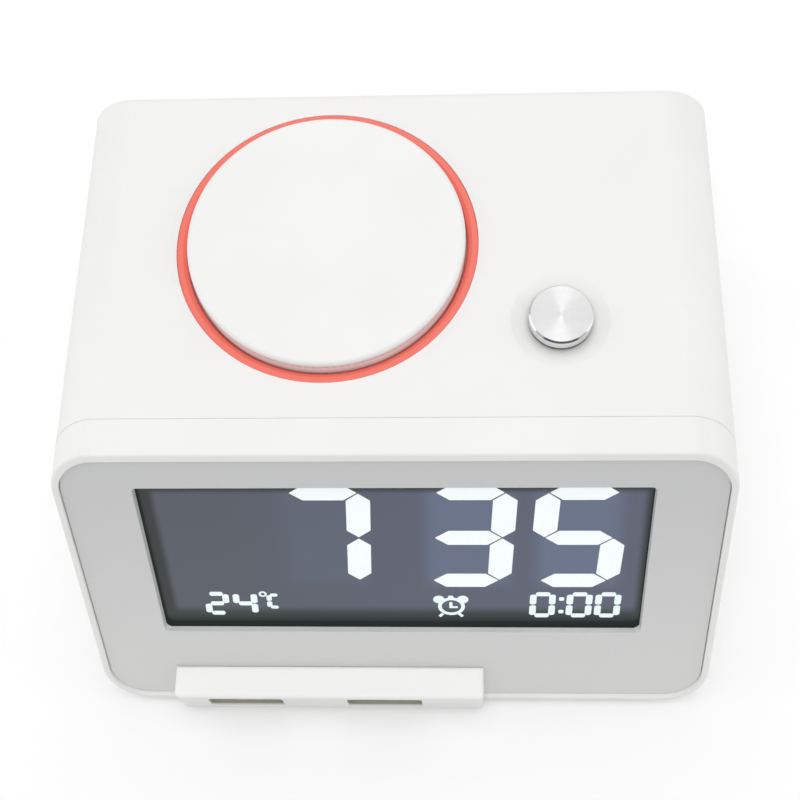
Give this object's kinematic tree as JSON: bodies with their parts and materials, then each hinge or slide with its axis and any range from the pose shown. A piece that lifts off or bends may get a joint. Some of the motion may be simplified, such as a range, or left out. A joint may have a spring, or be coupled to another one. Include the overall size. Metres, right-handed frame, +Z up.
{
  "type": "alarm clock",
  "caption": "Wedge-shaped bedside alarm clock: leaning digital display, large round snooze button in a light ring, push-turn knob, and a ledge with charging sockets for a phone.",
  "frame": {"origin": "centre of the footprint's box on the table, under the rubber feet", "axes": "+Z up, the display looks along -Y, +X to the right of someone facing the display"},
  "size_m": [0.1198, 0.1042, 0.0666],
  "materials": {
    "white_case": "fine satin",
    "grey_panel": "satin",
    "coral_ring": "translucent, lit from below",
    "white_button": "satin",
    "steel": "plated",
    "black_plastic": "moulded",
    "lamp_white": "moulded",
    "board_green": "lacquered",
    "knob_metal": "spun",
    "display_glass": "glossy",
    "backlight_white": "satin",
    "tongue_white": "moulded",
    "grey_button": "satin",
    "cone_paper": "pressed",
    "cell_steel": "polished",
    "contact_brass": "plated",
    "foot_rubber": "matt"
  },
  "bodies": {
    "clock": {"main_housing": "white_case", "front_frame": "white_case", "front_panel": "grey_panel", "phone_ledge": "white_case", "rear_cover": "white_case", "light_ring": "coral_ring", "snooze_spring": "steel", "snooze_switch": "black_plastic", "ring_lamps": "lamp_white", "top_board": "board_green", "encoder_body": "steel", "lcd_cell": "display_glass", "backlight_box": "backlight_white", "display_board": "board_green", "usb_socket_left": "steel", "usb_socket_right": "steel", "usb_tongues": "tongue_white", "usb_board": "board_green", "button_board": "board_green", "rear_switches": "black_plastic", "mode_switch_body": "steel", "power_board": "board_green", "dc_jack": "black_plastic", "shaker_jack": "black_plastic", "speaker_basket": "steel", "speaker_cone": "cone_paper", "coin_cell": "cell_steel", "battery_contact": "contact_brass", "battery_holder": "black_plastic", "rubber_feet": "foot_rubber", "inner_screws": "steel", "cover_screws": "steel"},
    "snooze": {"snooze_button": "white_button"},
    "knob_press": {"encoder_slider": "black_plastic"},
    "knob": {"knob_cap": "knob_metal", "encoder_shaft": "steel"},
    "rear_button_1": {"rear_button_1": "grey_button"},
    "rear_button_2": {"rear_button_2": "grey_button"},
    "rear_button_3": {"rear_button_3": "grey_button"},
    "rear_button_4": {"rear_button_4": "grey_button"},
    "mode_switch": {"mode_slider": "black_plastic"},
    "battery_door": {"battery_door": "white_case"}
  },
  "joints": [
    {"name": "snooze_press", "type": "slide", "parent": "clock", "child": "snooze", "axis": [0, 0, -1], "range_m": [0, 0.0012], "stiffness_N_per_m": 900, "deforming": ["snooze_spring"]},
    {"name": "knob_push", "type": "slide", "parent": "clock", "child": "knob_press", "axis": [0, 0, -1], "range_m": [0, 0.0004], "stiffness_N_per_m": 2000},
    {"name": "knob_turn", "type": "hinge", "parent": "knob_press", "child": "knob", "pos_m": [0.02955, 0.00394, 0.064], "axis": [0, 0, 1], "continuous": true},
    {"name": "rear_button_1_press", "type": "slide", "parent": "clock", "child": "rear_button_1", "axis": [0, -1, 0], "range_m": [0, 0.0006], "stiffness_N_per_m": 900},
    {"name": "rear_button_2_press", "type": "slide", "parent": "clock", "child": "rear_button_2", "axis": [0, -1, 0], "range_m": [0, 0.0006], "stiffness_N_per_m": 900},
    {"name": "rear_button_3_press", "type": "slide", "parent": "clock", "child": "rear_button_3", "axis": [0, -1, 0], "range_m": [0, 0.0006], "stiffness_N_per_m": 900},
    {"name": "rear_button_4_press", "type": "slide", "parent": "clock", "child": "rear_button_4", "axis": [0, -1, 0], "range_m": [0, 0.0006], "stiffness_N_per_m": 900},
    {"name": "mode_slide", "type": "slide", "parent": "clock", "child": "mode_switch", "axis": [1, 0, 0], "range_m": [-0.002, 0.002]},
    {"name": "door_turn", "type": "hinge", "parent": "clock", "child": "battery_door", "pos_m": [0.026, 0.01984, 0.001], "axis": [0, 0, 1], "range_deg": [0, 45]}
  ]
}
